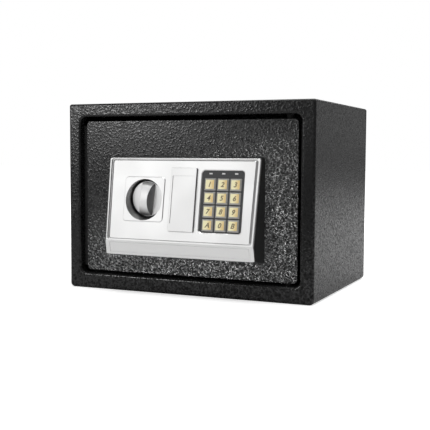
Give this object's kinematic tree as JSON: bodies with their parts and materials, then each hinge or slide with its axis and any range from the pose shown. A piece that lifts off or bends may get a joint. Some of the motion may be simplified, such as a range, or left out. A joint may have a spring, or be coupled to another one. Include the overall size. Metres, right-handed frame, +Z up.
{
  "type": "electronic home safe",
  "caption": "Rectangular steel home safe with a recessed hinged door, a wedge control panel, keypad, turning knob and locking bolts that slide out of the door.",
  "frame": {"origin": "centre of the underside that the safe stands on", "axes": "+X to the right as seen from the front, +Y towards the back, +Z up; the door faces -Y"},
  "size_m": [0.35, 0.2696, 0.25],
  "materials": {
    "powder_coat": "coarse wrinkle powder coat, satin",
    "inner_paint": "fine powder coat, matt",
    "felt": "needle felt",
    "zinc_steel": "zinc plated",
    "screw_steel": "zinc plated screws",
    "bolt_chrome": "bright plated",
    "spring_steel": "nickel plated spring wire and strip",
    "brass": "turned",
    "housing_black": "fine spark texture",
    "case_black": "moulded",
    "panel_silver": "silver lacquer, satin",
    "cover_silver": "silver lacquer, satin",
    "knob_silver": "silver lacquer, semi-gloss",
    "keypad_dark": "printed dark plate",
    "key_gold": "clear cap over gold foil",
    "lens_clear": "clear light guide",
    "membrane_rubber": "silicone rubber",
    "board_green": "solder-mask board",
    "coil_tape": "taped copper winding",
    "cell_wrap": "plain printed sleeve",
    "button_red": "moulded",
    "wire_cover": "insulated wires"
  },
  "bodies": {
    "safe_body": {"body_shell": "powder_coat", "back_panel": "powder_coat", "strike_bracket": "inner_paint", "hinge_guard": "inner_paint", "floor_mat": "felt"},
    "door": {"door_plate": "powder_coat", "door_pan": "inner_paint", "hinge_pins": "zinc_steel", "hinge_bushes": "case_black", "inner_cover": "inner_paint", "inner_cover_screws": "screw_steel", "battery_box": "case_black", "batteries": "cell_wrap", "battery_contacts": "spring_steel", "reset_switch": "case_black", "panel_housing": "housing_black", "panel_face": "panel_silver", "panel_screws": "screw_steel", "keypad_plate": "keypad_dark", "indicator_lenses": "lens_clear", "key_membrane": "membrane_rubber", "circuit_board": "board_green", "board_screws": "screw_steel", "buzzer": "case_black", "override_lock": "bolt_chrome", "lock_nut": "zinc_steel", "shaft_bush": "brass", "carrier_studs": "zinc_steel", "stud_clips": "zinc_steel", "solenoid_frame": "zinc_steel", "solenoid_coil": "coil_tape", "solenoid_screws": "screw_steel", "plunger_spring": "spring_steel", "wire_loom": "wire_cover"},
    "turning_knob": {"knob": "knob_silver", "knob_shaft": "zinc_steel", "drive_crank": "zinc_steel", "crank_screw": "zinc_steel"},
    "bolt_work": {"bolt_carrier": "zinc_steel", "locking_bolts": "bolt_chrome", "bolt_rivets": "zinc_steel"},
    "solenoid_plunger": {"plunger": "zinc_steel"},
    "lock_core": {"lock_plug": "bolt_chrome", "lock_cam": "zinc_steel", "cam_nut": "zinc_steel"},
    "keyhole_cover": {"key_cover": "cover_silver"},
    "battery_lid": {"battery_cover": "case_black"},
    "reset_push": {"reset_button": "button_red"},
    "button_1": {"key_1": "key_gold"},
    "button_2": {"key_2": "key_gold"},
    "button_3": {"key_3": "key_gold"},
    "button_4": {"key_4": "key_gold"},
    "button_5": {"key_5": "key_gold"},
    "button_6": {"key_6": "key_gold"},
    "button_7": {"key_7": "key_gold"},
    "button_8": {"key_8": "key_gold"},
    "button_9": {"key_9": "key_gold"},
    "button_a": {"key_a": "key_gold"},
    "button_0": {"key_0": "key_gold"},
    "button_b": {"key_b": "key_gold"}
  },
  "joints": [
    {"name": "door_swing", "type": "hinge", "parent": "safe_body", "child": "door", "pos_m": [0.1385, -0.109, 0.125], "axis": [0, 0, 1], "range_deg": [0, 110]},
    {"name": "knob_turn", "type": "hinge", "parent": "door", "child": "turning_knob", "pos_m": [-0.0527, -0.118, 0.1245], "axis": [0, -1, 0], "range_deg": [0, 90]},
    {"name": "bolt_slide", "type": "slide", "parent": "door", "child": "bolt_work", "axis": [-1, 0, 0], "range_m": [0, 0.018]},
    {"name": "plunger_drop", "type": "slide", "parent": "door", "child": "solenoid_plunger", "axis": [0, 0, -1], "range_m": [0, 0.007], "deforming": ["plunger_spring"]},
    {"name": "lock_turn", "type": "hinge", "parent": "door", "child": "lock_core", "pos_m": [0.0035, -0.115, 0.125], "axis": [0, 1, 0], "range_deg": [0, 90]},
    {"name": "keyhole_cover_lift", "type": "slide", "parent": "door", "child": "keyhole_cover", "axis": [0, -0.9864, 0.1641], "range_m": [0, 0.02]},
    {"name": "battery_lid_lift", "type": "slide", "parent": "door", "child": "battery_lid", "axis": [0, 1, 0], "range_m": [0, 0.02]},
    {"name": "reset_press", "type": "slide", "parent": "door", "child": "reset_push", "axis": [0, -1, 0], "range_m": [0, 0.002]},
    {"name": "press_1", "type": "slide", "parent": "door", "child": "button_1", "axis": [0, 0.9864, -0.1641], "range_m": [0, 0.001]},
    {"name": "press_2", "type": "slide", "parent": "door", "child": "button_2", "axis": [0, 0.9864, -0.1641], "range_m": [0, 0.001]},
    {"name": "press_3", "type": "slide", "parent": "door", "child": "button_3", "axis": [0, 0.9864, -0.1641], "range_m": [0, 0.001]},
    {"name": "press_4", "type": "slide", "parent": "door", "child": "button_4", "axis": [0, 0.9864, -0.1641], "range_m": [0, 0.001]},
    {"name": "press_5", "type": "slide", "parent": "door", "child": "button_5", "axis": [0, 0.9864, -0.1641], "range_m": [0, 0.001]},
    {"name": "press_6", "type": "slide", "parent": "door", "child": "button_6", "axis": [0, 0.9864, -0.1641], "range_m": [0, 0.001]},
    {"name": "press_7", "type": "slide", "parent": "door", "child": "button_7", "axis": [0, 0.9864, -0.1641], "range_m": [0, 0.001]},
    {"name": "press_8", "type": "slide", "parent": "door", "child": "button_8", "axis": [0, 0.9864, -0.1641], "range_m": [0, 0.001]},
    {"name": "press_9", "type": "slide", "parent": "door", "child": "button_9", "axis": [0, 0.9864, -0.1641], "range_m": [0, 0.001]},
    {"name": "press_a", "type": "slide", "parent": "door", "child": "button_a", "axis": [0, 0.9864, -0.1641], "range_m": [0, 0.001]},
    {"name": "press_0", "type": "slide", "parent": "door", "child": "button_0", "axis": [0, 0.9864, -0.1641], "range_m": [0, 0.001]},
    {"name": "press_b", "type": "slide", "parent": "door", "child": "button_b", "axis": [0, 0.9864, -0.1641], "range_m": [0, 0.001]}
  ],
  "couplings": [
    {"joint": "knob_turn", "follows": "bolt_slide", "rad_per_m": 87.266}
  ]
}
